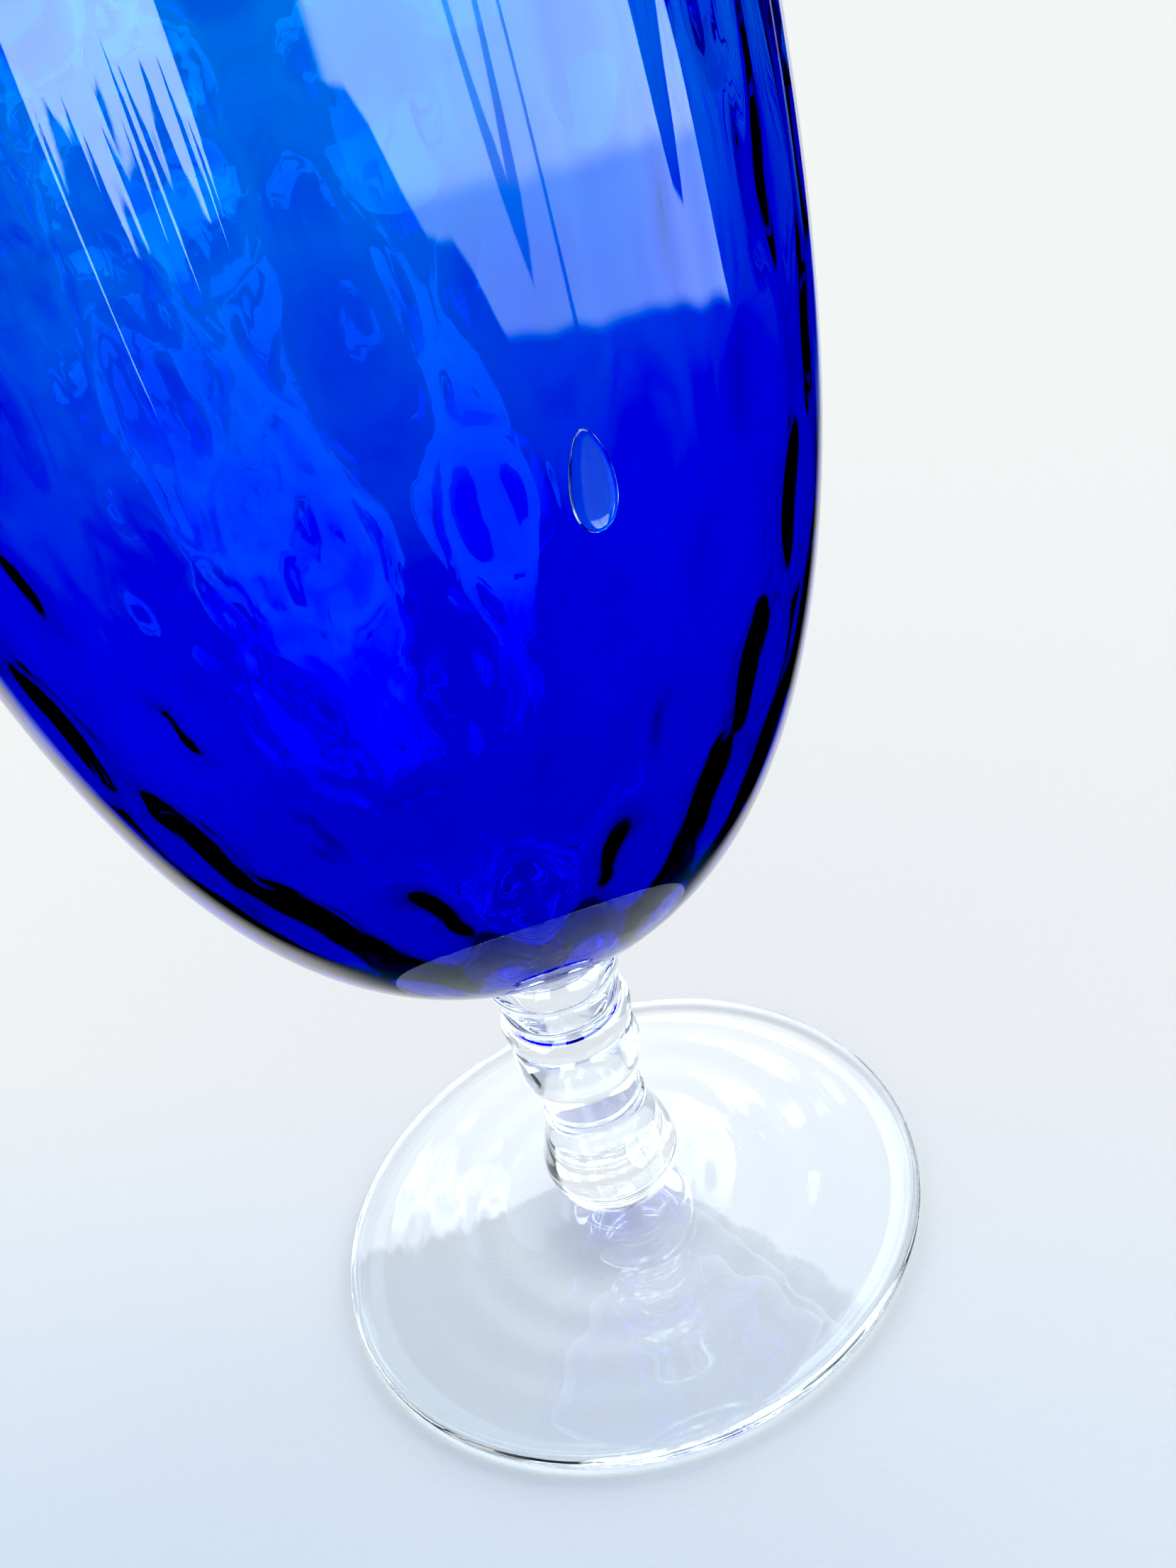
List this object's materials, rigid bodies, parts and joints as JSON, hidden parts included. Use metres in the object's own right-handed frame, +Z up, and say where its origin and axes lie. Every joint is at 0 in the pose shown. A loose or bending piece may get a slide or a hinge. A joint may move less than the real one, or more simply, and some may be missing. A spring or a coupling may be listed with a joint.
{
  "type": "footed glass goblet",
  "caption": "Footed goblet: an egg-shaped cased blue glass bowl on a short clear stem of stacked rings, a flared knop and a broad clear foot.",
  "frame": {"origin": "on the surface that the goblet stands on, at the centre of the foot", "axes": "+Z up along the axis of the stem and bowl; X and Y are equal, because the goblet is round"},
  "size_m": [0.0968, 0.0968, 0.192],
  "materials": {
    "clear_glass": "fire-polished clear soda glass",
    "blue_glass": "fire-polished cobalt blue glass"
  },
  "bodies": {
    "root": {"foot_disc": "clear_glass", "stem_knop": "clear_glass", "stem_core": "clear_glass", "stem_ring_lower": "clear_glass", "stem_ring_middle": "clear_glass", "stem_ring_narrow": "clear_glass", "stem_ring_upper": "clear_glass", "bowl_merese": "clear_glass", "bowl_casing": "clear_glass", "bowl_blue_layer": "blue_glass"}
  },
  "joints": []
}
